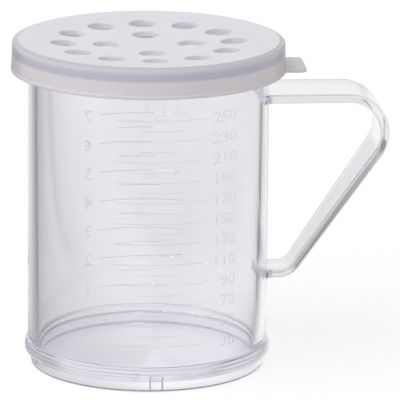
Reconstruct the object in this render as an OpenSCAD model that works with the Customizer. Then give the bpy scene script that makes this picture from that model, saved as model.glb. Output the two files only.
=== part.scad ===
// Handled shaker for spices: a clear jar moulded in one piece with its strap handle,
// and a press-on shaker lid with a lift tab. Millimetres, +Z up, handle along +X.
// The origin is the middle of the outline on the table.

/* [Jar] */
// Outside diameter of the straight wall
jar_d = 70; // [62:0.2:80]
// Height from the table to the rim
jar_h = 94.1; // [88:0.1:120]
// Wall thickness at the rim
rim_wall = 2.4; // [1.8:0.1:3]
// Wall thickness at the floor, more than at the rim so that the moulding draws off its core
floor_wall = 3.0; // [2.4:0.1:3.6]
// Thickness of the floor
floor_t = 2.4; // [1.8:0.1:4]
// Radius of the inside corner between the wall and the floor
floor_corner_r = 0.9; // [0.6:0.1:3]
// How far the rim flange stands out from the wall
flange_w = 2.7; // [2:0.1:4]
// Thickness of the rim flange
flange_t = 2.2; // [1.6:0.1:3]
// Radius of the rim flange's outer edges
flange_edge_r = 0.5; // [0.2:0.1:0.7]

/* [Foot] */
// Height of the floor's underside above the table
foot_h = 3.6; // [2.6:0.1:5]
// Thickness of the foot ring on the table
foot_wall = 2.4; // [2:0.1:3]
// How far the foot ring stands in from the wall
foot_inset = 1.0; // [0.8:0.1:2]
// How much the foot ring widens on its way up to the bead
foot_flare = 0.4; // [0:0.1:0.6]
// Height of the widest line of the bead round the base
bead_z = 4.85; // [4:0.05:6]
// How far the bead stands out from the wall
bead_out = 0.9; // [0.5:0.05:1.4]
// Radius of the bead's long upper side
bead_upper_r = 5.0; // [3:0.1:8]
// Radius of the bead's short lower side
bead_lower_r = 1.8; // [1.2:0.1:2.4]
// Number of notches in the inner side of the foot ring
notch_count = 4; // [3:1:8]
// Width of a notch
notch_w = 4.0; // [2:0.2:6]
// Height of a notch above the table
notch_h = 4.4; // [3:0.1:4.6]
// Wall left outside a notch at the table
notch_web = 0.8; // [0.6:0.1:1]
// Radius of a notch's two upright corners
notch_corner_r = 0.9; // [0.3:0.1:0.9]

/* [Handle] */
// Reach of the handle from the jar's axis
handle_reach = 69.4; // [60:0.1:80]
// Height of the top bar's upper face above the table
handle_top = 81.5; // [74:0.1:84]
// Height of the lower bar's underside above the table
handle_low = 25.7; // [16:0.1:36]
// Thickness of the strap
strap_t = 2.6; // [2:0.1:4]
// Width of the strap along the top bar
strap_w_top = 21; // [14:0.2:26]
// Width of the strap along the lower bar
strap_w_low = 12; // [8:0.2:14]
// Outside radius of the top bend
top_bend_r = 12; // [8:0.1:16]
// Outside radius of the lower bend
low_bend_r = 7.6; // [5:0.1:10]
// Straight run of the lower bar from the wall to its bend
low_bar_run = 2.9; // [2.4:0.1:8]
// Radius of the fillets where the strap's sides run into the wall
root_r = 3.0; // [1:0.1:4]

/* [Lid] */
// Height of the lid's edge above the jar's rim
lid_rise = 2.4; // [2:0.1:4]
// Height of the lid from its edge down to the bottom of the skirt
lid_h = 9.0; // [7.6:0.1:12]
// Thickness of the skirt
skirt_t = 1.2; // [1:0.1:2]
// Clearance between the rim flange and the skirt
skirt_gap = 0.7; // [0.5:0.05:1]
// How much the skirt widens from its shoulder to its bottom
skirt_flare = 0.35; // [0:0.05:1]
// Radius of the shoulder between the top and the skirt
shoulder_r = 1.35; // [0.8:0.05:1.8]
// Depth of the dish in the top
dish_depth = 1.8; // [0.8:0.1:2.4]
// Thickness of the dished plate
plate_t = 1.5; // [1:0.1:1.8]
// Thickness of the plug ring that centres the lid in the mouth
plug_t = 1.3; // [1:0.1:1.8]
// Reach of the plug ring below the rim
plug_h = 4.0; // [2.5:0.1:6]
// Clearance between the plug ring and the mouth
plug_gap = 0.15; // [0.1:0.05:0.4]
// Chamfer round the end of the plug ring
plug_chamfer = 0.5; // [0.2:0.1:0.8]
// Radius of the snap bead inside the skirt
snap_r = 0.7; // [0.5:0.05:1]
// Clearance between the snap bead and the rim flange
snap_gap = 0.15; // [0.05:0.05:0.4]

/* [Shaker holes] */
// Diameter of a shaker hole
hole_d = 7.7; // [3:0.1:8]
// Number of holes in the outer ring
outer_holes = 12; // [6:1:14]
// Radius of the outer ring of holes
outer_ring_r = 24.7; // [20:0.1:26]
// Number of holes in the inner ring
inner_holes = 4; // [2:1:6]
// Radius of the inner ring of holes
inner_ring_r = 12.3; // [9:0.1:14]

/* [Lift tab] */
// Width of the lift tab
tab_w = 16; // [8:0.2:24]
// Reach of the lift tab beyond the skirt
tab_reach = 5.4; // [3:0.1:10]
// Thickness of the lift tab
tab_t = 1.2; // [1:0.1:2]
// Radius of the lift tab's corners
tab_corner_r = 2.0; // [0.5:0.1:3]

/* [Hidden] */
$fn = 96;

// Cutters run this far past the surfaces they open
over = 1;
// The dish is a small cap of a large sphere, so its circle needs more facets than the rest
dish_facets = 256;
// A root fillet bites this far into the wall, so that the two surfaces cross
root_bite = 0.01;
// A notch starts this far inside the foot ring's inner face
notch_lead = 0.3;

// Jar radii and heights
jar_r = jar_d / 2;
mouth_r = jar_r - rim_wall;
floor_r = jar_r - floor_wall;
floor_top = foot_h + floor_t;
flange_r = jar_r + flange_w;
foot_r = jar_r - foot_inset;
foot_in_r = foot_r - foot_wall;
bead_edge_r = jar_r + bead_out;

// Centres of the strap's two bends
top_bend_x = handle_reach - top_bend_r;
top_bend_z = handle_top - top_bend_r;
low_bend_x = jar_r + low_bar_run;
low_bend_z = handle_low + low_bend_r;

// Lid radii and heights
rim_z = jar_h;
lid_top = rim_z + lid_rise;
skirt_bottom = lid_top - lid_h;
skirt_in_r = flange_r + skirt_gap;
skirt_r = skirt_in_r + skirt_t;
skirt_low_r = skirt_r + skirt_flare;
edge_r = skirt_r - shoulder_r;
dish_sphere_r = (edge_r * edge_r + dish_depth * dish_depth) / (2 * dish_depth);
dish_centre_z = lid_top - dish_depth + dish_sphere_r;
plug_r = mouth_r - plug_gap;
plug_in_r = plug_r - plug_t;
snap_z = rim_z - flange_t - snap_r - snap_gap;

// The jar's axis lies off the middle of the outline, because the handle reaches further than the lid
axis_x = (skirt_low_r - handle_reach) / 2;

// ---- Jar ----

// Half section of the rim flange, standing on its underside, with rounded outer edges
module rim_flange() {
    square([flange_r - flange_edge_r, flange_t]);
    translate([0, flange_edge_r]) square([flange_r, flange_t - 2 * flange_edge_r]);
    for (z = [flange_edge_r, flange_t - flange_edge_r])
        translate([flange_r - flange_edge_r, z]) circle(flange_edge_r);
}

// Half section of the jar's outside: straight wall, rim flange, bead and foot ring
module jar_outside() {
    translate([0, foot_h]) square([jar_r, jar_h - foot_h]);
    translate([0, jar_h - flange_t]) rim_flange();
    // Bead: a long arc above its widest line and a short one below
    intersection() {
        translate([bead_edge_r - bead_upper_r, bead_z]) circle(bead_upper_r);
        translate([foot_r, bead_z]) square([foot_inset + bead_out + over, bead_upper_r]);
    }
    intersection() {
        translate([bead_edge_r - bead_lower_r, bead_z]) circle(bead_lower_r);
        translate([foot_in_r, bead_z - bead_lower_r])
            square([foot_wall + foot_inset + bead_out + over, bead_lower_r]);
    }
    // Foot ring, under the bead
    polygon([
        [0, 0],
        [foot_r, 0],
        [foot_r + foot_flare, bead_z - bead_lower_r],
        [foot_r + foot_flare, bead_z],
        [0, bead_z]
    ]);
}

// Half section of the inside, drafted, with a rounded corner round the floor
module jar_inside() {
    corner_x = floor_r - floor_corner_r;
    corner_z = floor_top + floor_corner_r;
    polygon([
        [0, floor_top],
        [corner_x, floor_top],
        [corner_x, corner_z],
        [floor_r, corner_z],
        [mouth_r, jar_h],
        [mouth_r, jar_h + over],
        [0, jar_h + over]
    ]);
    translate([corner_x, corner_z]) circle(floor_corner_r);
}

// Half section of the space under the floor
module jar_underside() {
    translate([0, -over]) square([foot_in_r, foot_h + over]);
}

// One notch in the inner side of the foot ring, with rounded upright corners
module foot_notch() {
    end_r = foot_r - notch_web;
    corner_x = end_r - notch_corner_r;
    corner_y = notch_w / 2 - notch_corner_r;
    start_x = foot_in_r - notch_lead;
    translate([0, 0, -over])
        linear_extrude(notch_h + over) {
            translate([start_x, -notch_w / 2]) square([corner_x - start_x, notch_w]);
            translate([start_x, -corner_y]) square([end_r - start_x, 2 * corner_y]);
            for (side = [-1, 1])
                translate([corner_x, side * corner_y]) circle(notch_corner_r);
        }
}

// Side view of the region inside the strap's outer face, moved in by inset
module strap_region(inset) {
    bend_dx = top_bend_x - low_bend_x;
    bend_dz = top_bend_z - low_bend_z;
    // Direction square to the straight run that is tangent to both bends
    run_dir = atan2(bend_dz, bend_dx) - acos((low_bend_r - top_bend_r) / norm([bend_dx, bend_dz]));
    top_r = top_bend_r - inset;
    low_r = low_bend_r - inset;
    translate([top_bend_x, top_bend_z]) circle(top_r);
    translate([low_bend_x, low_bend_z]) circle(low_r);
    polygon([
        [0, handle_low + inset],
        [low_bend_x, handle_low + inset],
        [low_bend_x + low_r * cos(run_dir), low_bend_z + low_r * sin(run_dir)],
        [top_bend_x + top_r * cos(run_dir), top_bend_z + top_r * sin(run_dir)],
        [top_bend_x, handle_top - inset],
        [0, handle_top - inset]
    ]);
}

// Plan of a bar of width w with a fillet on each side where it meets the wall
module bar_plan(w) {
    fillet_y = w / 2 + root_r;
    fillet_x = sqrt(pow(jar_r + root_r - root_bite, 2) - fillet_y * fillet_y);
    wall_share = jar_r / (jar_r + root_r);
    translate([fillet_x, -w / 2]) square([handle_reach - fillet_x + over, w]);
    difference() {
        polygon([
            [jar_r - rim_wall, 0],
            [fillet_x * wall_share, -fillet_y * wall_share],
            [fillet_x, -fillet_y],
            [fillet_x, fillet_y],
            [fillet_x * wall_share, fillet_y * wall_share]
        ]);
        for (side = [-1, 1])
            translate([fillet_x, side * fillet_y]) circle(root_r);
    }
}

// Everything that lies within the strap's width at each height
module strap_width() {
    translate([0, 0, top_bend_z])
        linear_extrude(top_bend_r + over) bar_plan(strap_w_top);
    translate([0, 0, handle_low - over])
        linear_extrude(low_bend_r + over) bar_plan(strap_w_low);
    rotate([90, 0, 90])
        linear_extrude(handle_reach + over)
            polygon([
                [-strap_w_low / 2, low_bend_z],
                [strap_w_low / 2, low_bend_z],
                [strap_w_top / 2, top_bend_z],
                [-strap_w_top / 2, top_bend_z]
            ]);
}

// Strap handle: two bars out of the wall, joined by a slanting run that narrows downwards
module strap() {
    intersection() {
        rotate([90, 0, 0])
            linear_extrude(2 * jar_d, center = true)
                difference() {
                    strap_region(0);
                    strap_region(strap_t);
                }
        strap_width();
    }
}

module jar() {
    color([0.90, 0.90, 0.95, 0.45])
        translate([axis_x, 0, 0])
            difference() {
                union() {
                    rotate_extrude()
                        difference() {
                            intersection() {
                                jar_outside();
                                square([flange_r + over, jar_h]);
                            }
                            jar_underside();
                        }
                    strap();
                }
                rotate_extrude() jar_inside();
                for (i = [0 : notch_count - 1])
                    rotate(i * 360 / notch_count) foot_notch();
            }
}

// ---- Lid ----

// Half section of the lid, with its top still flat
module lid_blank() {
    // Dished plate
    intersection() {
        translate([0, dish_centre_z]) circle(dish_sphere_r + plate_t, $fn = dish_facets);
        translate([0, rim_z - plate_t]) square([plug_r, lid_rise + plate_t]);
    }
    // Seat on the rim, with the shoulder round its edge
    translate([plug_in_r, rim_z]) square([edge_r - plug_in_r, lid_rise]);
    translate([plug_in_r, rim_z]) square([skirt_r - plug_in_r, lid_rise - shoulder_r]);
    intersection() {
        translate([edge_r, lid_top - shoulder_r]) circle(shoulder_r);
        translate([edge_r, rim_z]) square([shoulder_r, lid_rise]);
    }
    // Plug ring, chamfered to find the mouth
    polygon([
        [plug_in_r, rim_z - plug_h],
        [plug_r - plug_chamfer, rim_z - plug_h],
        [plug_r, rim_z - plug_h + plug_chamfer],
        [plug_r, rim_z + plate_t],
        [plug_in_r, rim_z + plate_t]
    ]);
    // Skirt
    polygon([
        [skirt_in_r, rim_z],
        [skirt_in_r, lid_top - shoulder_r],
        [skirt_r, lid_top - shoulder_r],
        [skirt_low_r, skirt_bottom],
        [skirt_low_r - skirt_t, skirt_bottom]
    ]);
    // Snap bead
    translate([flange_r + snap_gap + snap_r, snap_z]) circle(snap_r);
}

// Holes in one ring, the first towards -Y
module hole_ring(count, ring_r) {
    for (i = [0 : count - 1])
        rotate(i * 360 / count - 90)
            translate([ring_r, 0, rim_z - plate_t - over])
                cylinder(h = plate_t + lid_rise + 2 * over, d = hole_d);
}

// Plan of the lift tab, from inside the skirt to its rounded end
module tab_plan() {
    tab_end = skirt_low_r + tab_reach;
    tab_start = skirt_low_r - skirt_t / 2;
    corner_x = tab_end - tab_corner_r;
    corner_y = tab_w / 2 - tab_corner_r;
    difference() {
        union() {
            translate([0, -tab_w / 2]) square([corner_x, tab_w]);
            translate([0, -corner_y]) square([tab_end, 2 * corner_y]);
            for (side = [-1, 1])
                translate([corner_x, side * corner_y]) circle(tab_corner_r);
        }
        circle(tab_start);
    }
}

module lid() {
    color([0.86, 0.86, 0.88])
        translate([axis_x, 0, 0])
            difference() {
                union() {
                    rotate_extrude()
                        difference() {
                            lid_blank();
                            translate([0, dish_centre_z]) circle(dish_sphere_r, $fn = dish_facets);
                        }
                    translate([0, 0, skirt_bottom]) linear_extrude(tab_t) tab_plan();
                }
                hole_ring(outer_holes, outer_ring_r);
                hole_ring(inner_holes, inner_ring_r);
            }
}

jar();
lid();
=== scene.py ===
import math

import bmesh
import bpy
from mathutils import Matrix, Vector


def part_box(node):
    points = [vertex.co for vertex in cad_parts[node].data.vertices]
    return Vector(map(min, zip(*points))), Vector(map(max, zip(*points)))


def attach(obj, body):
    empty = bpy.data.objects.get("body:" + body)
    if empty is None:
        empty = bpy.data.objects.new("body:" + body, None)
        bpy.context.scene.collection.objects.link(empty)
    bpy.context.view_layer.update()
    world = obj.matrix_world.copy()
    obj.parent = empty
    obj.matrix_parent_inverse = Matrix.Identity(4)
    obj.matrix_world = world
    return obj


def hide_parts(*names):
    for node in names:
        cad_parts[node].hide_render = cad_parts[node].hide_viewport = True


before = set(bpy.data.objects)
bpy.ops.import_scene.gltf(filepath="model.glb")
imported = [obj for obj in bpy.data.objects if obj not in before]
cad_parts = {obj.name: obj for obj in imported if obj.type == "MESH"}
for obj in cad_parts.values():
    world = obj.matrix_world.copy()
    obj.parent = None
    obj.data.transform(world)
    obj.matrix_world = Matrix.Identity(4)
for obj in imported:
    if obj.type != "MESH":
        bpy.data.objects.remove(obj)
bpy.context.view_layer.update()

# ---- Measures, in millimetres and in degrees about the jar's axis ----

MM = 0.001
LID_LOW, LID_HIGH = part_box("lid")
# The lid is round but for its tab, which points to +X, so its width gives the place of the jar's axis
JAR_AXIS_X = LID_LOW.x + (LID_HIGH.y - LID_LOW.y) / 2

# Jar
WALL_R, MOUTH_R, FLOOR_R = 35.0, 32.6, 32.0
RIM_Z, FLOOR_Z, UNDER_Z = 94.1, 6.0, 3.6
FLANGE_R, FLANGE_Z = 37.7, 91.9
BEAD_R, BEAD_Z, BEAD_UPPER, BEAD_LOWER = 35.9, 4.85, 5.0, 1.8
FOOT_R, FOOT_TOP_R, FOOT_IN_R = 34.0, 34.4, 31.6
# Radii of the jar's rounded corners and edges
FLOOR_CORNER, RIM_EDGE, FLANGE_EDGE, FLANGE_ROOT = 0.9, 0.35, 0.5, 0.3
FOOT_EDGE, FOOT_IN_EDGE, FOOT_ROOT = 0.7, 0.35, 0.4
# The wall's outside has a ring of points this far above the bead's widest line
WALL_START = 8.0
JAR_TURNS = 256
# The foot's outer lower edge, below this height and outside this radius, has a dark contact shadow painted on
# it
FOOT_SHADE_Z, FOOT_SHADE_R = 0.6, 32.6
NOTCHES = 4
NOTCH_W, NOTCH_H, NOTCH_START, NOTCH_END, NOTCH_CORNER = 4.0, 4.4, 31.3, 33.2, 0.9

# Handle
HANDLE_REACH, HANDLE_TOP, HANDLE_LOW = 69.4, 81.5, 25.7
STRAP_T, STRAP_EDGE = 2.6, 0.65
STRAP_W_TOP, STRAP_W_LOW = 21.0, 12.0
TOP_BEND, LOW_BEND, LOW_BAR_RUN = 12.0, 7.6, 2.9
TOP_BEND_X, TOP_BEND_Z = HANDLE_REACH - TOP_BEND, HANDLE_TOP - TOP_BEND
LOW_BEND_X, LOW_BEND_Z = WALL_R + LOW_BAR_RUN, HANDLE_LOW + LOW_BEND
TOP_BEND_STEPS, LOW_BEND_STEPS = 24, 16
# Radius of the fillets where the strap meets the wall, and the radius inside the wall where it starts
ROOT_R, ROOT_DEPTH_R = 3.0, 33.8

# Lid
LID_TOP, LID_EDGE_R, DISH, PLATE_T = 96.5, 38.25, 1.8, 1.5
DISH_SPHERE = (LID_EDGE_R ** 2 + DISH ** 2) / (2 * DISH)
# The upper and the lower face of the dished plate are divided evenly out to these radii
EVEN_TOP_R, EVEN_UNDER_R = 36.85, 29.15
# A low lip rings the dish, and the rounded shoulder starts a little below it
LIP_IN_R, LIP_R, LIP_OUT_R, LIP_H = 37.35, 38.0, 38.2, 0.24
LIP_EDGE, LIP_FOOT = 0.25, 0.08
SHOULDER_R, SHOULDER_DROP = 1.05, 0.28
SKIRT_R, SKIRT_LOW_R, SKIRT_T, SKIRT_TOP_Z, SKIRT_Z = 39.6, 39.95, 1.2, 94.5, 87.5
SKIRT_EDGE, SKIRT_DRAFT = 0.3, 0.1
# The hem at the skirt's lower end: how far it stands out, its height and its slope's, and its radii
HEM_OUT, HEM_H, HEM_SLOPE, HEM_ROOT, HEM_EDGE = 0.17, 0.85, 0.2, 0.1, 0.2
# The snap bead inside the skirt, and how far above and below its middle the skirt's straight wall starts
SNAP_AT, SNAP_R, SNAP_START, SNAP_END, SNAP_RUN = (38.55, 91.05), 0.7, 245, 115, 1.1
PLUG_R, PLUG_IN_R, PLUG_Z, PLUG_CHAMFER = 32.45, 31.15, 90.1, 0.5
PLUG_EDGE, PLUG_IN_EDGE, PLUG_ROOT = 0.1, 0.15, 0.4
LID_TURNS = 256
# A hole's radius, and the radii of its upper and lower edges
HOLE_R, HOLE_EDGE, HOLE_UNDER = 3.85, 0.12, 0.25
HOLE_RINGS = ((12, 24.7), (4, 12.3))
TAB_W, TAB_R, TAB_T, TAB_CORNER, TAB_EDGE = 16.0, 45.35, 1.2, 2.0, 0.3
# How far the tab starts inside the skirt's outer face, and the turns round its edges, in radians
TAB_ROOT, TAB_EDGE_TURNS = 0.4, (0, 0.52, 1.05, 1.571)

# Graduations: how far they stand out and reach into the wall, a line's width at its foot and its top,
# and the width of a letter's slope
MARK_OUT, MARK_IN, MARK_W, MARK_TOP_W, MARK_SLOPE = 0.11, 0.2, 0.28, 0.112, 0.13
# How far the foot of a letter's slope stands out, so that it clears the wall's facets
SLOPE_FOOT = 0.02
# A scale's lines: the angle of their middles, and half the angle of a long and of a short one
ML_LINE, OZ_LINE = (1.4, 21.7, 10), (179.4, 21.9, 11)
ML_DIGIT_AT, OZ_DIGIT_AT = 41.6, 208.2
ML_DIGIT_H, OZ_DIGIT_H, DIGIT_WIDEN = 3.2, 3.55, 1.28
# The height where each scale starts, the rise for each unit, and what it marks
ML_ZERO, ML_STEP, ML_MARKS = 4.65, 0.302, range(30, 251, 10)
OZ_ZERO, OZ_STEP, HALF_OZ_MARKS = 4.75, 8.8, range(2, 17)
UNIT_H, UNIT_Z = 6.5, 81.8
# The letter, its angle, how much it is widened, and what part of it stands at the angle
UNIT_LETTERS = (("M", -1.4, 1.0, "CENTER"), ("L", 7.6, 0.8, "LEFT"),
                ("O", 178, 1.0, "CENTER"), ("Z", 187, 1.0, "CENTER"))
# Height of a capital in Blender's own font, for a size of 1, and the least thickness of a letter
FONT_HEIGHT, LETTER_CORE = 0.7, 0.01
# The marks' slopes lie between these heights, beyond this y, this far clear of the wall and of their tops
MARKS_LOW, MARKS_HIGH, MARKS_Y, MARK_CLEAR = 9.0, 91.1, 21.0, 0.005
# A face is level with the wall if at least this share of its facing points away from the axis
LEVEL = 0.97
# On the side of the ounces, the numbers lie beyond this x and the lines on its other side
OZ_DIGITS_X = -14.0

# A flat or straight stretch has an extra line of points this close to its ends, so that it shades flat
KEEP_FLAT = 0.06
# Cutters run this far past the surfaces that they open
OVER = 1.0
# An edge stays sharp if its faces turn by more than this
SHARP = 28

# The eye stands round EYE_TARGET, at a distance in metres, and looks at AIM
EYE_AZIMUTH, EYE_ELEVATION, EYE_DISTANCE = -4.75, 14.39, 1.440
EYE_TARGET = Vector((JAR_AXIS_X, 0, 0.04966))
AIM = Vector((0.0004, -0.0015, 0.0484))
LENS, SENSOR = 444.5, 36
ROLL = 0.506
CLIP_NEAR, CLIP_FAR = 0.1, 20


# ---- Tones and finishes ----

# Noise patterns, as (scale, detail): the jar's clouds and ripples, the mottling of the foot's painted contact
# shadow, and the lid's clouds and grain
CLOUDS, RIPPLES, FOOT_SHADE_MOTTLE = (45.0, 4.0), (90.0, 1.0), (300.0, 3.0)
MILK, GRAIN = (70.0, 3.0), (900.0, 2.0)
# The tone of the cloudiest places, as a share of the clearest
CLOUDINESS, MILKINESS = 0.985, 0.965
# The strength and the depth of the bumps
RIPPLE_BUMP, GRAIN_BUMP = (0.2, 0.00002), (0.05, 0.0002)

IOR, LID_IOR = 1.585, 1.49
TINT = (0.974, 0.972, 0.984)
SHINE = (0.994, 0.99, 1.0, 1)
SHADOW_TINT = (0.965, 0.965, 0.975, 1)
# A ray inside the plastic goes straight on once it has met this many surfaces
TRAPPED_DEPTH = 12
# The marks' slopes take a darker tint than the jar, painted shade that draws their outlines, with a slight
# roughness and a softened facing
MARK_SHADE_TINT, MARK_ROUGHNESS, MARK_SOFTENED = (0.82, 0.81, 0.84), 0.03, 0.5
# How much of the foot's lower edge is painted contact shadow, seen from outside and from within the plastic,
# and the painted shadow's tones
FOOT_SHADE_OUTSIDE, FOOT_SHADE_INSIDE = 0.75, 0.25
FOOT_SHADE_DARK, FOOT_SHADE_PALE = (0.20, 0.19, 0.24), (0.30, 0.29, 0.34)

# The lid's top tone, and the paler tone of the skirt's painted sheen at grazing angles
LID_TOP_TONE, SKIRT_SHEEN_TONE = (0.96, 0.94, 0.985), (1.0, 0.99, 1.0)
# Tones of the lid's skirt by the height above its lower edge, as a share of this many millimetres. Its dark
# band at the jar's flange is painted shade, the flange seen in shadow through the skirt, and it is darker
# along the lip and the shoulder's top.
SKIRT_TONES_SPAN = 10
SKIRT_TONES_AND_SHADE = (
    (0.00, (0.93, 0.89, 0.92)), (0.08, (0.93, 0.88, 0.90)), (0.12, (0.92, 0.87, 0.89)),
    (0.47, (0.93, 0.88, 0.90)), (0.54, (0.70, 0.68, 0.78)), (0.68, (0.70, 0.69, 0.78)),
    (0.76, (0.84, 0.82, 0.86)), (0.80, (0.84, 0.82, 0.86)), (0.86, (0.68, 0.66, 0.70)),
    (0.92, (0.72, 0.70, 0.74)),
)
# The skirt's tones start at the first radius, and its outer face lies beyond the second
SKIRT_TONES_R, SKIRT_FACE_R = 37.9, 39.2
# The plug ring lies within this radius and below this share of the span
PLUG_WITHIN_R, PLUG_BELOW = 34.5, 0.60
# How much light crosses the lid, and its plug ring
LID_GLOW, PLUG_GLOW = 0.3, 0.0
# Where the skirt is seen at a grazing angle: the share of its painted sheen, a paler tone, and of what is
# behind it
SHEEN_SHARES = ((0.75, 0.0), (0.88, 1.0))
CLEAR_SHARES = ((0.6, 0.1), (0.8, 0.35), (0.95, 0.75))
LID_CLEAR = (0.97, 0.965, 0.98, 1)
LID_GLOSS, LID_ROUGHNESS = (0.9, 0.9, 0.9, 1), 0.32

# Brightness round the object, by the angle from +Y towards +X. SKY is what reflections find beyond the
# table, by its height in degrees. TABLE is what they find on the table.
SKY = (
    (4, ((-180, 0.80), (-90, 0.75), (-28, 0.86), (-23, 0.30), (-8, 0.30), (-3, 0.85), (35, 0.85), (45, 0.50),
         (80, 0.50), (180, 0.80))),
    (13, ((-180, 0.90), (-95, 0.60), (-25, 0.74), (-12, 0.86), (38, 0.88), (48, 0.45), (85, 0.50),
          (180, 0.90))),
    (24, ((-180, 0.75), (-95, 0.06), (-28, 0.06), (-16, 0.75), (38, 0.80), (50, 0.15), (85, 0.20),
          (180, 0.75))),
    (40, ((-180, 0.60), (-60, 0.42), (60, 0.42), (180, 0.60))),
)
TABLE = (
    (-180, 0.45), (-140, 0.70), (-105, 0.60), (-75, 0.30), (-55, 0.18), (-38, 0.12), (-27, 0.45), (-16, 0.78),
    (-5, 0.95), (0, 0.95), (29, 1.00), (33, 0.75), (36.5, 0.15), (41, 0.45), (47, 0.80), (60, 0.95),
    (105, 0.80), (140, 0.40), (180, 0.35),
)
# The least that a gloss on an outer surface finds beyond the table
FIRST_GLOSS = 0.78
# What is seen through plastic, on the table and beyond it
THROUGH = (
    (-180, 0.80), (-60, 0.75), (-15, 0.76), (-8, 0.79), (-4, 0.84), (1, 0.89), (30, 0.90), (40, 1.04),
    (60, 1.04), (75, 0.85), (180, 0.80),
)
# How much of THROUGH is left beyond the table, by the sine of the height to which plastic bends the view
ABOVE = ((0.00, 1.0), (0.05, 0.95), (0.14, 0.60), (0.35, 0.40), (0.80, 0.60), (1.00, 0.80))
# How THROUGH changes under the jar, by the distance from its axis as a share of this many metres: painted
# light, brighter inside the foot, and painted shade, a dark contact ring where the foot stands
UNDER_JAR_SPAN = 0.05
UNDER_JAR_LIGHT_AND_SHADE = (
    (0.00, (1.17, 1.16, 1.17)), (0.48, (1.17, 1.16, 1.17)), (0.58, (1.03, 1.02, 1.06)),
    (0.66, (0.94, 0.93, 0.97)), (0.72, (1.07, 1.07, 1.07)),
)
# The floor's patterns turn about a point in front of the jar. A view of the sky is a direction already.
FLOOR_CENTRE, SKY_CENTRE = (JAR_AXIS_X, -0.08, 0), (0, 0, 0)
# The floor's own light by the distance from the jar's axis, as a share of this many metres
FLOOR_GLOW_SPAN = 2.0
FLOOR_GLOW = ((0.0, 0.69), (0.08, 0.69), (0.2, 0.76), (0.5, 0.82), (1.0, 0.85))
# The share of the floor's tone that a shadow can take
SHADOW_SHARE = 0.3
PAPER, ROOM = (0.8, 0.8, 0.8, 1), (0.69, 0.69, 0.71, 1)
# The floor reaches 4 m each way and lies a hair under the foot, so that the two never share a place
FLOOR_SIDE, FLOOR_GAP = 4.0, 0.00005
LAMP_PLACE, LAMP_SIZE, LAMP_POWER = Vector((-0.5, -0.3, 1.0)), 0.9, 7
BOUNCES = 32


# ---- Mesh helpers: points are millimetres from the jar's axis on the table ----

def in_frame(x, y, z):
    """A point in metres from the frame's origin."""
    return (x * MM + JAR_AXIS_X, y * MM, z * MM)


def arc(centre, radius, start, end, steps):
    """Points of an arc in a plane, in degrees."""
    angles = (math.radians(start + (end - start) * k / steps) for k in range(steps + 1))
    return [(centre[0] + radius * math.cos(a), centre[1] + radius * math.sin(a)) for a in angles]


def rounded(corners, steps=4):
    """A polyline whose (x, z, radius) corners become arcs, with a point close by on each side."""
    line = []
    for k, (x, z, radius) in enumerate(corners):
        if radius == 0:
            line.append((x, z))
            continue
        here = Vector((x, z))
        back = (Vector(corners[k - 1][:2]) - here).normalized()
        ahead = (Vector(corners[k + 1][:2]) - here).normalized()
        half = back.angle(ahead) / 2
        centre = here + (back + ahead).normalized() * radius / math.sin(half)
        first = here + back * radius / math.tan(half) - centre
        last = here + ahead * radius / math.tan(half) - centre
        spread = math.pi - 2 * half
        line.append(tuple(centre + first + back * KEEP_FLAT))
        for step in range(steps + 1):
            t = step / steps
            spoke = (first * math.sin((1 - t) * spread) + last * math.sin(t * spread)) / math.sin(spread)
            line.append(tuple(centre + spoke))
        line.append(tuple(centre + last + ahead * KEEP_FLAT))
    return line


def mesh_of(name, points, faces):
    """A closed mesh with its faces turned outwards."""
    made = bmesh.new()
    corners = [made.verts.new(in_frame(*p)) for p in points]
    for face in faces:
        made.faces.new([corners[k] for k in face])
    bmesh.ops.recalc_face_normals(made, faces=made.faces)
    mesh = bpy.data.meshes.new(name)
    made.to_mesh(mesh)
    made.free()
    return mesh


def lathe(name, profile, turns):
    """Turn a profile about the jar's axis. Its first and last points lie on the axis."""
    points, rings = [], []
    for r, z in profile:
        if r == 0:
            rings.append([len(points)] * turns)
            points.append((0, 0, z))
        else:
            rings.append(list(range(len(points), len(points) + turns)))
            for k in range(turns):
                a = 2 * math.pi * k / turns
                points.append((r * math.cos(a), r * math.sin(a), z))
    faces = []
    for low, high in zip(rings, rings[1:]):
        for k in range(turns):
            j = (k + 1) % turns
            faces.append(list(dict.fromkeys((low[k], low[j], high[j], high[k]))))
    return mesh_of(name, points, faces)


def loft(name, sections):
    """Join closed sections. Each cap is a strip between the two halves of its section."""
    count = len(sections[0])
    points = [p for section in sections for p in section]
    faces = []
    for s in range(len(sections) - 1):
        for k in range(count):
            j = (k + 1) % count
            faces.append((s * count + k, s * count + j, (s + 1) * count + j, (s + 1) * count + k))
    for start in (0, (len(sections) - 1) * count):
        for k in range(count // 2 - 1):
            faces.append((start + k, start + k + 1, start + count - 2 - k, start + count - 1 - k))
    return mesh_of(name, points, faces)


def combined(name, body, *changes):
    """Apply (operation, mesh) changes to a mesh and give its edges their sharpness."""
    keeper = bpy.data.objects.new(name, body)
    bpy.context.collection.objects.link(keeper)
    helpers = []
    for operation, mesh in changes:
        helper = bpy.data.objects.new(mesh.name, mesh)
        bpy.context.collection.objects.link(helper)
        cut = keeper.modifiers.new(mesh.name, "BOOLEAN")
        cut.operation, cut.object, cut.solver = operation, helper, "MANIFOLD"
        helpers.append(helper)
    depsgraph = bpy.context.evaluated_depsgraph_get()
    result = bpy.data.meshes.new_from_object(keeper.evaluated_get(depsgraph))
    for spare in [keeper] + helpers:
        bpy.data.objects.remove(spare)
    result.name = name
    result.shade_smooth()
    result.set_sharp_from_angle(angle=math.radians(SHARP))
    made = bpy.data.objects.new(name, result)
    bpy.context.collection.objects.link(made)
    return made


# ---- Jar ----

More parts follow.
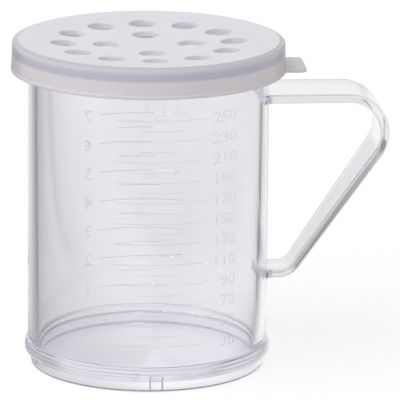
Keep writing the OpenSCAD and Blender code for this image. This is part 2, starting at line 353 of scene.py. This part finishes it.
def jar_body():
    """The jar without its handle, notches and marks, as one turned section."""
    bead_centre = (BEAD_R - BEAD_UPPER, BEAD_Z)
    low_centre = (BEAD_R - BEAD_LOWER, BEAD_Z)
    bead_top = math.degrees(math.acos((WALL_R - bead_centre[0]) / BEAD_UPPER))
    bead_low = -math.degrees(math.acos((FOOT_TOP_R - low_centre[0]) / BEAD_LOWER))
    wall = rounded([
        (0, FLOOR_Z, 0),
        (FLOOR_R, FLOOR_Z, FLOOR_CORNER),
        (MOUTH_R, RIM_Z, RIM_EDGE),
        (FLANGE_R, RIM_Z, FLANGE_EDGE),
        (FLANGE_R, FLANGE_Z, FLANGE_EDGE),
        (WALL_R, FLANGE_Z, FLANGE_ROOT),
        (WALL_R, BEAD_Z + WALL_START, 0),
    ])
    bead = arc(bead_centre, BEAD_UPPER, bead_top, 0, 10) + arc(low_centre, BEAD_LOWER, 0, bead_low, 8)[1:]
    foot = rounded([
        bead[-1] + (0,),
        (FOOT_R, 0, FOOT_EDGE),
        (FOOT_IN_R, 0, FOOT_IN_EDGE),
        (FOOT_IN_R, UNDER_Z, FOOT_ROOT),
        (0, UNDER_Z, 0),
    ])
    return lathe("jar_body", wall + bead + foot[1:], JAR_TURNS)


def notch_cutters():
    """Blocks with two rounded edges that cut the notches out of the foot ring's inner side."""
    x, y = NOTCH_END - NOTCH_CORNER, NOTCH_W / 2 - NOTCH_CORNER
    plan = [(NOTCH_START, -NOTCH_W / 2)]
    plan += arc((x, -y), NOTCH_CORNER, -90, 0, 9) + arc((x, y), NOTCH_CORNER, 0, 90, 9)
    plan += [(NOTCH_START, NOTCH_W / 2)]
    count = len(plan)
    points, faces = [], []
    for n in range(NOTCHES):
        turn = 2 * math.pi * n / NOTCHES
        c, s = math.cos(turn), math.sin(turn)
        start = len(points)
        for z in (-OVER, NOTCH_H):
            points += [(px * c - py * s, px * s + py * c, z) for px, py in plan]
        faces += [tuple(range(start, start + count)), tuple(range(start + count, start + 2 * count))]
        for k in range(count):
            j = (k + 1) % count
            faces.append((start + k, start + j, start + count + j, start + count + k))
    return mesh_of("notches", points, faces)


def on_the_worn_edge(face):
    """True for the foot's outer lower edge, where a contact shadow is painted."""
    x, y, z = (face.center - Vector(in_frame(0, 0, 0))) / MM
    return z < FOOT_SHADE_Z and math.hypot(x, y) > FOOT_SHADE_R


# ---- Handle ----

def strap_section(half, upper_steps=10):
    """Upper half of a rounded bar's section, then the lower half, as (across, outward)."""
    flat_half, flat_out = half - STRAP_EDGE, STRAP_T / 2 - STRAP_EDGE
    corner = [(half, flat_out - KEEP_FLAT)] + arc((flat_half, flat_out), STRAP_EDGE, 0, 90, 4)
    corner.append((flat_half - KEEP_FLAT, STRAP_T / 2))
    flat = [(flat_half * (1 - 2 * k / upper_steps), STRAP_T / 2) for k in range(1, upper_steps)]
    upper = corner + flat + [(-y, n) for y, n in reversed(corner)]
    return upper + [(y, -n) for y, n in reversed(upper)]


def strap_station(x, z, outward, half, bulge=0.0):
    """One section of the strap. With bulge, its points follow the wall's curve by that share."""
    a = math.radians(outward)
    edge_x = math.sqrt(WALL_R ** 2 - half ** 2)
    return [
        (x + n * math.cos(a) + bulge * (math.sqrt(WALL_R ** 2 - y ** 2) - edge_x), y, z + n * math.sin(a))
        for y, n in strap_section(half)
    ]


def strap_root(z, outward, width, steps=8):
    """Sections from inside the wall out along the fillets."""
    fillet_y = width / 2 + ROOT_R
    fillet_x = math.sqrt((WALL_R + ROOT_R) ** 2 - fillet_y ** 2)
    touch = math.acos(fillet_x / (WALL_R + ROOT_R))
    inner = fillet_y - ROOT_R * math.sin(touch)
    stations = [(math.sqrt(ROOT_DEPTH_R ** 2 - inner ** 2), inner, 1.0)]
    for k in range(steps + 1):
        a = touch + (math.pi / 2 - touch) * k / steps
        stations.append((fillet_x - ROOT_R * math.cos(a), fillet_y - ROOT_R * math.sin(a), 1 - k / steps))
    stations.append((fillet_x + KEEP_FLAT, width / 2, 0))
    return [strap_station(x, z, outward, half, bulge) for x, half, bulge in stations]


def strap_width(z):
    """The strap's width, which narrows from the upper bend's centre down to the lower one's."""
    share = min(1, max(0, (z - LOW_BEND_Z) / (TOP_BEND_Z - LOW_BEND_Z)))
    return STRAP_W_LOW + (STRAP_W_TOP - STRAP_W_LOW) * share


def strap_bend(centre, radius, start, end, steps):
    """Sections round a bend, with one just before and one just after it."""
    sections = []
    for k in range(-1, steps + 2):
        a = start + (end - start) * min(max(k, 0), steps) / steps
        x, z = arc(centre, radius, a, a, 1)[0]
        if k in (-1, steps + 1):
            ahead = math.radians(a - 90) if k > 0 else math.radians(a + 90)
            x, z = x + KEEP_FLAT * math.cos(ahead), z + KEEP_FLAT * math.sin(ahead)
        sections.append(strap_station(x, z, a, strap_width(z) / 2))
    return sections


def strap():
    """The strap handle: out of the wall, round both bends and back into the wall."""
    top_z, low_z = HANDLE_TOP - STRAP_T / 2, HANDLE_LOW + STRAP_T / 2
    dx, dz = TOP_BEND_X - LOW_BEND_X, TOP_BEND_Z - LOW_BEND_Z
    # The slanting run is tangent to both bends and faces this way
    run = math.degrees(math.atan2(dz, dx) - math.acos((LOW_BEND - TOP_BEND) / math.hypot(dx, dz)))
    sections = strap_root(top_z, 90, STRAP_W_TOP)
    sections += strap_bend((TOP_BEND_X, TOP_BEND_Z), TOP_BEND - STRAP_T / 2, 90, run, TOP_BEND_STEPS)
    sections += strap_bend((LOW_BEND_X, LOW_BEND_Z), LOW_BEND - STRAP_T / 2, run, -90, LOW_BEND_STEPS)
    sections += reversed(strap_root(low_z, -90, STRAP_W_LOW))
    return loft("strap", sections)


# ---- Lid ----

def dish(r, depth=0.0):
    """A point of the dished plate's half section, at a depth below its upper face."""
    return (r, LID_TOP - DISH + DISH_SPHERE - math.sqrt((DISH_SPHERE + depth) ** 2 - r * r))


def lid_body():
    """The lid without its holes and tab, as one turned section."""
    top = [dish(EVEN_TOP_R * k / 16) for k in range(17)]
    lip = rounded([
        dish(LIP_IN_R) + (0,),
        (LIP_R, LID_TOP, LIP_EDGE),
        (LIP_OUT_R, LID_TOP - LIP_H, LIP_FOOT),
        (SKIRT_R - SHOULDER_R, LID_TOP - SHOULDER_DROP, 0),
    ])
    shoulder_centre = (SKIRT_R - SHOULDER_R, LID_TOP - SHOULDER_DROP - SHOULDER_R)
    shoulder = arc(shoulder_centre, SHOULDER_R, 90, 0, 10)[1:]
    skirt = rounded([
        (SKIRT_R, SKIRT_TOP_Z, 0),
        (SKIRT_LOW_R - HEM_OUT, SKIRT_Z + HEM_H + HEM_SLOPE, HEM_ROOT),
        (SKIRT_LOW_R, SKIRT_Z + HEM_H, HEM_EDGE),
        (SKIRT_LOW_R, SKIRT_Z, SKIRT_EDGE),
        (SKIRT_LOW_R - SKIRT_T, SKIRT_Z, SKIRT_EDGE),
        (SKIRT_LOW_R - SKIRT_T - SKIRT_DRAFT, SNAP_AT[1] - SNAP_RUN, 0),
    ])
    snap = arc(SNAP_AT, SNAP_R, SNAP_START, SNAP_END, 10)
    seat = rounded([
        (SKIRT_R - SKIRT_T, SNAP_AT[1] + SNAP_RUN, 0),
        (SKIRT_R - SKIRT_T, RIM_Z, SKIRT_EDGE),
        (PLUG_R, RIM_Z, PLUG_EDGE),
        (PLUG_R, PLUG_Z + PLUG_CHAMFER, PLUG_EDGE),
        (PLUG_R - PLUG_CHAMFER, PLUG_Z, PLUG_EDGE),
        (PLUG_IN_R, PLUG_Z, PLUG_IN_EDGE),
        dish(PLUG_IN_R, PLATE_T) + (PLUG_ROOT,),
        dish(EVEN_UNDER_R, PLATE_T) + (0,),
    ])
    under = [dish(EVEN_UNDER_R * k / 12, PLATE_T) for k in range(11, -1, -1)]
    return lathe("lid_body", top + lip + shoulder + skirt + snap + seat + under, LID_TURNS)


def hole_cutters(sides=72):
    """One spool for each shaker hole, whose flared ends round the hole's two edges."""
    top, low = HOLE_R + HOLE_EDGE, HOLE_R + HOLE_UNDER
    profile = [(0, OVER), (top, OVER)]
    profile += arc((top, -HOLE_EDGE), HOLE_EDGE, 90, 180, 6)
    profile += arc((low, HOLE_UNDER - PLATE_T), HOLE_UNDER, 180, 270, 6)
    profile += [(low, -PLATE_T - OVER), (0, -PLATE_T - OVER)]
    points, faces = [], []
    for count, ring_r in HOLE_RINGS:
        lean = math.asin(ring_r / DISH_SPHERE)
        z = LID_TOP - DISH + ring_r ** 2 / (2 * DISH_SPHERE)
        for k in range(count):
            turn = 2 * math.pi * k / count - math.pi / 2
            start = len(points)
            for r, h in profile:
                for n in range(sides if r else 1):
                    a = 2 * math.pi * n / sides
                    across, along = r * math.cos(a), r * math.sin(a)
                    out = ring_r + across * math.cos(lean) - h * math.sin(lean)
                    points.append((
                        out * math.cos(turn) - along * math.sin(turn),
                        out * math.sin(turn) + along * math.cos(turn),
                        z + across * math.sin(lean) + h * math.cos(lean),
                    ))
            last = len(points) - 1
            rows = [start + 1 + sides * row for row in range(len(profile) - 2)]
            for n in range(sides):
                m = (n + 1) % sides
                faces.append((start, rows[0] + n, rows[0] + m))
                faces.append((last, rows[-1] + m, rows[-1] + n))
                for upper, lower in zip(rows, rows[1:]):
                    faces.append((upper + n, lower + n, lower + m, upper + m))
    return mesh_of("holes", points, faces)


def tab_outline(inset):
    """Plan of the lift tab, moved in by inset, from inside the skirt to its rounded corners."""
    x, y, corner = TAB_R - TAB_CORNER, TAB_W / 2 - TAB_CORNER, TAB_CORNER - inset
    plan = arc((x, -y), corner, -90, 0, 8) + arc((x, y), corner, 0, 90, 8)
    half = math.degrees(math.asin((TAB_W / 2 - inset) / SKIRT_R))
    return plan + arc((0, 0), SKIRT_R - TAB_ROOT, half, -half, 15)


def tab():
    """The lift tab: its outline stacked at (inset, height) levels that round its edges."""
    levels = [(TAB_EDGE * (1 - math.sin(a)), SKIRT_Z + TAB_EDGE * (1 - math.cos(a))) for a in TAB_EDGE_TURNS]
    levels += [(inset, 2 * SKIRT_Z + TAB_T - z) for inset, z in reversed(levels)]
    return loft("tab", [[(x, y, z) for x, y in tab_outline(inset)] for inset, z in levels])


# ---- Graduations: raised marks of the same moulding as the jar ----

def on_wall(angle, z, out):
    """A point near the wall's outside, by its angle from -Y towards +X."""
    a = math.radians(angle)
    return ((WALL_R + out) * math.sin(a), -(WALL_R + out) * math.cos(a), z)


def rib(angle, half, z):
    """Closed points and faces of a raised line along the wall, middle at angle, half its angle."""
    steps = max(4, round(half))
    lower = [(-MARK_IN, -MARK_W / 2), (0, -MARK_W / 2), (MARK_OUT, -MARK_TOP_W / 2)]
    shape = lower + [(out, -up) for out, up in reversed(lower)]
    points = [on_wall(angle - half + 2 * half * k / steps, z + up, out)
              for k in range(steps + 1) for out, up in shape]
    count = len(shape)
    faces = [tuple(range(count)), tuple(range(steps * count, (steps + 1) * count))]
    for k in range(steps):
        for n in range(count):
            m = (n + 1) % count
            faces.append((k * count + n, k * count + m, (k + 1) * count + m, (k + 1) * count + n))
    return points, faces


def lettering(text, angle, z, height, widen, align):
    """Closed points and faces of raised characters that stand on z, bent round the wall."""
    scale = height / FONT_HEIGHT
    curve = bpy.data.curves.new("lettering", "FONT")
    curve.body, curve.align_x = text, align
    curve.resolution_u = 3
    curve.bevel_depth = MARK_SLOPE / scale
    curve.bevel_resolution = 0
    curve.offset = -MARK_SLOPE / scale
    curve.extrude = LETTER_CORE
    letters = bpy.data.objects.new("lettering", curve)
    bpy.context.collection.objects.link(letters)
    mesh = bpy.data.meshes.new_from_object(letters)
    bpy.data.objects.remove(letters)
    shape = bmesh.new()
    shape.from_mesh(mesh)
    bmesh.ops.remove_doubles(shape, verts=shape.verts, dist=1e-5)
    points = []
    for v in shape.verts:
        level = abs(v.co.z) * scale > MARK_SLOPE
        if v.co.z > 0:
            out = MARK_OUT if level else SLOPE_FOOT
        else:
            out = -MARK_IN if level else -MARK_IN / 2
        along = math.degrees(v.co.x * scale * widen / WALL_R)
        points.append(on_wall(angle + along, z + v.co.y * scale, out))
    shape.verts.ensure_lookup_table()
    faces = [tuple(v.index for v in f.verts) for f in shape.faces]
    shape.free()
    return points, faces


def scale_marks(heights, line, digit_at, digit_h, align):
    """One scale. heights has a (height, text) for each line, and a line with no text is short."""
    middle, long, short = line
    parts = []
    for z, text in heights:
        parts.append(rib(middle, long if text else short, z))
        if text:
            parts.append(lettering(text, digit_at, z - digit_h / 2, digit_h, DIGIT_WIDEN, align))
    return parts


def marks():
    """Millilitres on the wall's -Y side, ounces on its +Y side, and their units above them."""
    ml = [(ML_ZERO + ML_STEP * n, str(n) if n % 20 == 10 else "") for n in ML_MARKS]
    oz = [(OZ_ZERO + OZ_STEP * n / 2, str(n // 2) if n % 2 == 0 else "") for n in HALF_OZ_MARKS]
    parts = scale_marks(ml, ML_LINE, ML_DIGIT_AT, ML_DIGIT_H, "RIGHT")
    parts += scale_marks(oz, OZ_LINE, OZ_DIGIT_AT, OZ_DIGIT_H, "CENTER")
    for letter, angle, widen, align in UNIT_LETTERS:
        parts.append(lettering(letter, angle, UNIT_Z, UNIT_H, widen, align))
    points, faces = [], []
    for some_points, some_faces in parts:
        start = len(points)
        points += some_points
        faces += [tuple(start + k for k in face) for face in some_faces]
    return mesh_of("marks", points, faces)


def on_a_mark(face):
    """True for the sloping sides of the marks, slightly matt and tinted darker as painted shade that draws
    their outlines. The ounce numbers are clear all over.
    """
    x, y, z = (face.center - Vector(in_frame(0, 0, 0))) / MM
    out = math.hypot(x, y) - WALL_R
    if not MARK_CLEAR < out < MARK_OUT - MARK_CLEAR or not MARKS_LOW < z < MARKS_HIGH:
        return False
    if y > 0 and x < OZ_DIGITS_X:
        return False
    return abs(y) > MARKS_Y and face.normal.dot(Vector((x, y, 0)).normalized()) < LEVEL


# ---- Node helpers ----

def nodes_of(name):
    """A new material and its empty node tree."""
    made = bpy.data.materials.new(name)
    made.use_nodes = True
    made.node_tree.nodes.clear()
    return made, made.node_tree


def add(tree, kind, **values):
    node = tree.nodes.new(kind)
    for key, value in values.items():
        setattr(node, key, value)
    return node


def put(node, **values):
    for key, value in values.items():
        node.inputs[key].default_value = value
    return node


def link(tree, out, into):
    tree.links.new(out, into)


def output(tree, shader):
    out = add(tree, "ShaderNodeOutputMaterial")
    link(tree, shader, out.inputs["Surface"])


def mix_shaders(tree, share, first, second):
    mix = add(tree, "ShaderNodeMixShader")
    link(tree, share, mix.inputs[0])
    link(tree, first, mix.inputs[1])
    link(tree, second, mix.inputs[2])
    return mix.outputs[0]


def math_node(tree, kind, *values):
    node = add(tree, "ShaderNodeMath", operation=kind)
    for slot, value in enumerate(values):
        if isinstance(value, (int, float)):
            node.inputs[slot].default_value = value
        else:
            link(tree, value, node.inputs[slot])
    return node.outputs[0]


def ramp(tree, share, stops):
    """A colour ramp over share, whose stops are (position, grey) or (position, colour)."""
    node = add(tree, "ShaderNodeValToRGB")
    link(tree, share, node.inputs[0])
    stops = [(at, (tone,) * 3 if isinstance(tone, float) else tone) for at, tone in stops]
    ends = node.color_ramp.elements
    ends[0].position, ends[1].position = stops[0][0], stops[-1][0]
    ends[0].color, ends[1].color = stops[0][1] + (1,), stops[-1][1] + (1,)
    for position, tone in stops[1:-1]:
        ends.new(position).color = tone + (1,)
    return node.outputs[0]


def blended(tree, share, first, second, kind="MIX"):
    """A mix of two colours, each a socket or a plain colour."""
    node = add(tree, "ShaderNodeMix", data_type="RGBA", blend_type=kind)
    if isinstance(share, float):
        node.inputs["Factor"].default_value = share
    else:
        link(tree, share, node.inputs["Factor"])
    for slot, tone in (("A", first), ("B", second)):
        if isinstance(tone, tuple):
            node.inputs[slot].default_value = tone + (1,)
        else:
            link(tree, tone, node.inputs[slot])
    return node.outputs["Result"]


def parts_of(tree, vector):
    """The X, Y and Z of a vector."""
    split = add(tree, "ShaderNodeSeparateXYZ")
    link(tree, vector, split.inputs[0])
    return split.outputs


def place_on(tree):
    """The place on the object, in metres from the frame's origin."""
    return add(tree, "ShaderNodeTexCoord").outputs["Object"]


def from_jar_axis(tree, place):
    """The distance of a place from the jar's axis, and its height, in metres."""
    x, y, z = parts_of(tree, place)
    x = math_node(tree, "SUBTRACT", x, JAR_AXIS_X)
    squared = math_node(tree, "MULTIPLY_ADD", x, x, math_node(tree, "MULTIPLY", y, y))
    return math_node(tree, "SQRT", squared), z


def noise(tree, place, pattern):
    scale, detail = pattern
    node = put(add(tree, "ShaderNodeTexNoise"), Scale=scale, Detail=detail)
    link(tree, place, node.inputs["Vector"])
    return node.outputs["Fac"]


def mottled(tree, place, pattern, dark, pale):
    """A noise pattern between two tones."""
    return ramp(tree, noise(tree, place, pattern), [(0.3, dark), (0.7, pale)])


def bumped(tree, place, pattern, bump):
    """A bump node over a noise pattern, by its (strength, depth in metres)."""
    strength, depth = bump
    node = put(add(tree, "ShaderNodeBump"), Strength=strength, Distance=depth)
    link(tree, noise(tree, place, pattern), node.inputs["Height"])
    return node


# ---- Materials ----

def wall_facing(tree, share):
    """The surface's direction, drawn by a share towards the direction away from the jar's axis."""
    away = add(tree, "ShaderNodeVectorMath", operation="MULTIPLY_ADD")
    link(tree, place_on(tree), away.inputs[0])
    away.inputs[1].default_value = (1, 1, 0)
    away.inputs[2].default_value = (-JAR_AXIS_X, 0, 0)
    outward = add(tree, "ShaderNodeVectorMath", operation="NORMALIZE")
    link(tree, away.outputs[0], outward.inputs[0])
    turned = add(tree, "ShaderNodeVectorTransform", vector_type="NORMAL")
    turned.convert_from, turned.convert_to = "OBJECT", "WORLD"
    link(tree, outward.outputs[0], turned.inputs[0])
    blend = add(tree, "ShaderNodeMix", data_type="VECTOR")
    blend.inputs["Factor"].default_value = share
    link(tree, add(tree, "ShaderNodeNewGeometry").outputs["Normal"], blend.inputs["A"])
    link(tree, turned.outputs[0], blend.inputs["B"])
    whole = add(tree, "ShaderNodeVectorMath", operation="NORMALIZE")
    link(tree, blend.outputs["Result"], whole.inputs[0])
    return whole.outputs[0]


def clear_plastic(name="clear_plastic", tint=TINT, roughness=0.0, softened=0.0):
    """Clear moulding. With softened, its facing is drawn towards the wall's own by that share."""
    made, tree = nodes_of(name)
    place = place_on(tree)
    fresnel = put(add(tree, "ShaderNodeFresnel"), IOR=IOR)
    bend = put(add(tree, "ShaderNodeBsdfRefraction"), Roughness=roughness, IOR=IOR)
    shine = put(add(tree, "ShaderNodeBsdfAnisotropic"), Color=SHINE, Roughness=0.0)
    clearness = mottled(tree, place, CLOUDS, CLOUDINESS, 1.0)
    link(tree, blended(tree, 1.0, tint, clearness, "MULTIPLY"), bend.inputs["Color"])
    uneven = bumped(tree, place, RIPPLES, RIPPLE_BUMP)
    if softened:
        link(tree, wall_facing(tree, softened), uneven.inputs["Normal"])
    for node in (fresnel, bend, shine):
        link(tree, uneven.outputs["Normal"], node.inputs["Normal"])
    glass = mix_shaders(tree, fresnel.outputs[0], bend.outputs[0], shine.outputs[0])
    path = add(tree, "ShaderNodeLightPath")
    through = put(add(tree, "ShaderNodeBsdfTransparent"), Color=SHADOW_TINT)
    lamp = math_node(tree, "MAXIMUM", path.outputs["Is Shadow Ray"], path.outputs["Is Diffuse Ray"])
    trapped = math_node(tree, "GREATER_THAN", path.outputs["Ray Depth"], TRAPPED_DEPTH)
    output(tree, mix_shaders(tree, math_node(tree, "MAXIMUM", lamp, trapped), glass, through.outputs[0]))
    return made


def worn_plastic():
    """The foot's lower edge: clear plastic mixed with a dark matt colour, a painted contact shadow where the
    foot meets the table.
    """
    made = clear_plastic("foot_painted_shade")
    tree = made.node_tree
    end = tree.nodes["Material Output"]
    glass = end.inputs["Surface"].links[0].from_socket
    matt = add(tree, "ShaderNodeBsdfDiffuse")
    link(tree, mottled(tree, place_on(tree), FOOT_SHADE_MOTTLE, FOOT_SHADE_DARK, FOOT_SHADE_PALE), matt.inputs["Color"])
    inside = add(tree, "ShaderNodeNewGeometry").outputs["Backfacing"]
    foot_shade_share = math_node(tree, "MULTIPLY_ADD", inside, FOOT_SHADE_INSIDE - FOOT_SHADE_OUTSIDE, FOOT_SHADE_OUTSIDE)
    link(tree, mix_shaders(tree, foot_shade_share, glass, matt.outputs[0]), end.inputs["Surface"])
    return made


def lid_plastic():
    """Milky plastic that lets some light and a little of what is behind it through. Its skirt carries painted
    shade bands and, at grazing angles, a painted sheen.
    """
    made, tree = nodes_of("lid_plastic")
    place = place_on(tree)
    radius, z = from_jar_axis(tree, place)
    height = math_node(tree, "MULTIPLY_ADD", z, 1 / (SKIRT_TONES_SPAN * MM), -SKIRT_Z / SKIRT_TONES_SPAN)
    on_skirt = math_node(tree, "GREATER_THAN", radius, SKIRT_TONES_R * MM)
    # The skirt's tones hold painted shade: a dark band where the jar's flange stands behind it
    tone = blended(tree, on_skirt, LID_TOP_TONE, ramp(tree, height, SKIRT_TONES_AND_SHADE))
    facing = put(add(tree, "ShaderNodeLayerWeight"), Blend=0.5).outputs["Facing"]
    on_face = math_node(tree, "GREATER_THAN", radius, SKIRT_FACE_R * MM)
    grazing = math_node(tree, "MULTIPLY", facing, on_face)
    # A painted sheen: the skirt's outer face turns paler where it is seen at a grazing angle
    tone = blended(tree, ramp(tree, grazing, SHEEN_SHARES), tone, SKIRT_SHEEN_TONE)
    tone = blended(tree, 1.0, tone, mottled(tree, place, MILK, MILKINESS, 1.0), "MULTIPLY")
    bump = bumped(tree, place, GRAIN, GRAIN_BUMP)
    surface = add(tree, "ShaderNodeBsdfDiffuse")
    inner = add(tree, "ShaderNodeBsdfTranslucent")
    for shader in (surface, inner):
        link(tree, tone, shader.inputs["Color"])
        link(tree, bump.outputs["Normal"], shader.inputs["Normal"])
    low = math_node(tree, "LESS_THAN", height, PLUG_BELOW)
    on_plug = math_node(tree, "MULTIPLY", low, math_node(tree, "LESS_THAN", radius, PLUG_WITHIN_R * MM))
    glow = math_node(tree, "MULTIPLY_ADD", on_plug, PLUG_GLOW - LID_GLOW, LID_GLOW)
    milky = mix_shaders(tree, glow, surface.outputs[0], inner.outputs[0])
    clear = put(add(tree, "ShaderNodeBsdfTransparent"), Color=LID_CLEAR)
    veiled = mix_shaders(tree, ramp(tree, grazing, CLEAR_SHARES), milky, clear.outputs[0])
    fresnel = put(add(tree, "ShaderNodeFresnel"), IOR=LID_IOR)
    gloss = put(add(tree, "ShaderNodeBsdfAnisotropic"), Color=LID_GLOSS, Roughness=LID_ROUGHNESS)
    link(tree, bump.outputs["Normal"], gloss.inputs["Normal"])
    output(tree, mix_shaders(tree, fresnel.outputs[0], veiled, gloss.outputs[0]))
    return made


# ---- Studio ----

def around(tree, place, centre, pattern):
    """The brightness that a pattern gives for the direction of a place from a centre."""
    from_centre = add(tree, "ShaderNodeVectorMath", operation="SUBTRACT")
    link(tree, place, from_centre.inputs[0])
    from_centre.inputs[1].default_value = centre
    x, y, _ = parts_of(tree, from_centre.outputs[0])
    turn = math_node(tree, "ARCTAN2", x, y)
    share = math_node(tree, "MULTIPLY_ADD", turn, 1 / (2 * math.pi), 0.5)
    return ramp(tree, share, [((angle + 180) / 360, value) for angle, value in pattern])


def seen_tone(tree, beyond, mirrored):
    """White to the camera, and the studio's own tones through plastic and in reflections."""
    path = add(tree, "ShaderNodeLightPath")
    crossed = math_node(tree, "GREATER_THAN", path.outputs["Transmission Depth"], 0.5)
    reflected = math_node(tree, "GREATER_THAN", path.outputs["Glossy Depth"], 0.5)
    through = math_node(tree, "MAXIMUM", path.outputs["Is Glossy Ray"], path.outputs["Is Transmission Ray"])
    seen = math_node(tree, "MAXIMUM", path.outputs["Is Camera Ray"], through)
    straight = blended(tree, crossed, (1, 1, 1), beyond)
    return seen, reflected, straight, blended(tree, reflected, straight, mirrored)


def sky_tone(tree, direction):
    """The brightness of the SKY patterns, blended between their heights."""
    sine = parts_of(tree, direction)["Z"]
    height = math_node(tree, "MULTIPLY", math_node(tree, "ARCSINE", sine), 180 / math.pi)
    tone, below = around(tree, direction, SKY_CENTRE, SKY[0][1]), SKY[0][0]
    for above, pattern in SKY[1:]:
        share = add(tree, "ShaderNodeMapRange")
        link(tree, height, share.inputs["Value"])
        share.inputs["From Min"].default_value, share.inputs["From Max"].default_value = below, above
        tone = blended(tree, share.outputs["Result"], tone, around(tree, direction, SKY_CENTRE, pattern))
        below = above
    depth = add(tree, "ShaderNodeLightPath").outputs["Transmission Depth"]
    first = math_node(tree, "LESS_THAN", depth, 0.5)
    return blended(tree, first, tone, blended(tree, 1.0, tone, (FIRST_GLOSS,) * 3, "LIGHTEN"))


def white_floor():
    """Pale paper. To the camera and through plastic, much of its tone is its own light, and the
    rest is lit by the lamp, so that the object's shadow stays."""
    made, tree = nodes_of("floor")
    paper = put(add(tree, "ShaderNodeBsdfDiffuse"), Color=PAPER)
    place = add(tree, "ShaderNodeNewGeometry").outputs["Position"]
    radius, _ = from_jar_axis(tree, place)
    # Painted light and shade on the floor under the jar, seen only through plastic
    shade = ramp(tree, math_node(tree, "MULTIPLY", radius, 1 / UNDER_JAR_SPAN), UNDER_JAR_LIGHT_AND_SHADE)
    beyond = blended(tree, 1.0, around(tree, place, FLOOR_CENTRE, THROUGH), shade, "MULTIPLY")
    mirrored = around(tree, place, FLOOR_CENTRE, TABLE)
    seen, reflected, straight, tone = seen_tone(tree, beyond, mirrored)
    own = add(tree, "ShaderNodeEmission")
    link(tree, tone, own.inputs["Color"])
    strength = add(tree, "ShaderNodeMix")
    link(tree, reflected, strength.inputs["Factor"])
    glow = ramp(tree, math_node(tree, "MULTIPLY", radius, 1 / FLOOR_GLOW_SPAN), FLOOR_GLOW)
    link(tree, glow, strength.inputs["A"])
    strength.inputs["B"].default_value = 1.0
    link(tree, strength.outputs["Result"], own.inputs["Strength"])
    shadowed = add(tree, "ShaderNodeBsdfDiffuse")
    lit = blended(tree, 1.0, straight, (SHADOW_SHARE,) * 3, "MULTIPLY")
    link(tree, blended(tree, reflected, lit, (0, 0, 0)), shadowed.inputs["Color"])
    both = add(tree, "ShaderNodeAddShader")
    link(tree, own.outputs[0], both.inputs[0])
    link(tree, shadowed.outputs[0], both.inputs[1])
    output(tree, mix_shaders(tree, seen, paper.outputs[0], both.outputs[0]))
    return made


def floor():
    mesh = bpy.data.meshes.new("floor")
    corners = [(x * FLOOR_SIDE, y * FLOOR_SIDE, -FLOOR_GAP) for x, y in ((-1, -1), (1, -1), (1, 1), (-1, 1))]
    mesh.from_pydata(corners, [], [(0, 1, 2, 3)])
    made = bpy.data.objects.new("floor", mesh)
    bpy.context.collection.objects.link(made)
    mesh.materials.append(white_floor())


def room():
    """A plain grey room, which plastic shows as the studio's tones and the camera as white."""
    world = bpy.data.worlds.new("studio")
    bpy.context.scene.world = world
    world.use_nodes = True
    tree = world.node_tree
    tree.nodes.clear()
    plain = put(add(tree, "ShaderNodeBackground"), Color=ROOM, Strength=1.0)
    direction = add(tree, "ShaderNodeTexCoord").outputs["Generated"]
    above = ramp(tree, parts_of(tree, direction)["Z"], ABOVE)
    beyond = blended(tree, 1.0, around(tree, direction, SKY_CENTRE, THROUGH), above, "MULTIPLY")
    seen, _, _, tone = seen_tone(tree, beyond, sky_tone(tree, direction))
    white = add(tree, "ShaderNodeBackground")
    link(tree, tone, white.inputs["Color"])
    out = add(tree, "ShaderNodeOutputWorld")
    link(tree, mix_shaders(tree, seen, plain.outputs[0], white.outputs[0]), out.inputs["Surface"])


def softbox():
    data = bpy.data.lights.new("softbox", "AREA")
    data.shape = "DISK"
    data.size = LAMP_SIZE
    data.energy = LAMP_POWER
    lamp = bpy.data.objects.new("softbox", data)
    bpy.context.collection.objects.link(lamp)
    lamp.location = LAMP_PLACE
    lamp.rotation_euler = (-LAMP_PLACE).to_track_quat("-Z", "Y").to_euler()
    lamp.visible_glossy = False


def camera():
    data = bpy.data.cameras.new("camera")
    data.lens = LENS
    data.sensor_width = SENSOR
    data.clip_start, data.clip_end = CLIP_NEAR, CLIP_FAR
    eye = bpy.data.objects.new("camera", data)
    bpy.context.collection.objects.link(eye)
    azimuth, elevation = math.radians(EYE_AZIMUTH), math.radians(EYE_ELEVATION)
    back = Vector((
        math.sin(azimuth) * math.cos(elevation),
        -math.cos(azimuth) * math.cos(elevation),
        math.sin(elevation),
    ))
    place = EYE_TARGET + EYE_DISTANCE * back
    turn = (AIM - place).to_track_quat("-Z", "Y").to_matrix().to_4x4()
    eye.matrix_world = Matrix.Translation(place) @ turn @ Matrix.Rotation(math.radians(ROLL), 4, "Z")
    bpy.context.scene.camera = eye


# ---- The dressed object ----

def finished(piece, *materials):
    """Give a piece its materials in place of those that its making left."""
    piece.data.materials.clear()
    for material in materials:
        piece.data.materials.append(material)


clear = clear_plastic()
# A copy of the clear plastic with a darker tint: painted shade on the marks' slopes
mark_edges_painted_shade = clear_plastic("mark_edges_painted_shade", MARK_SHADE_TINT, MARK_ROUGHNESS, MARK_SOFTENED)
jar_changes = ("UNION", strap()), ("DIFFERENCE", notch_cutters()), ("UNION", marks())
jar = combined("jar_moulding", jar_body(), *jar_changes)
finished(jar, clear, mark_edges_painted_shade, worn_plastic())
# The foot's lower edge takes the painted contact shadow, and the marks' slopes the copy of the clear plastic
# with painted shade
for face in jar.data.polygons:
    face.material_index = 2 if on_the_worn_edge(face) else int(on_a_mark(face))
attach(jar, "jar")
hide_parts("jar")

lid = combined("lid_moulding", lid_body(), ("UNION", tab()), ("DIFFERENCE", hole_cutters()))
finished(lid, lid_plastic())
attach(lid, "lid")
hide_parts("lid")

floor()
room()
softbox()
camera()
bpy.context.scene.view_settings.view_transform = "Standard"
for kind in ("max_bounces", "glossy_bounces", "transmission_bounces", "transparent_max_bounces"):
    setattr(bpy.context.scene.cycles, kind, BOUNCES)
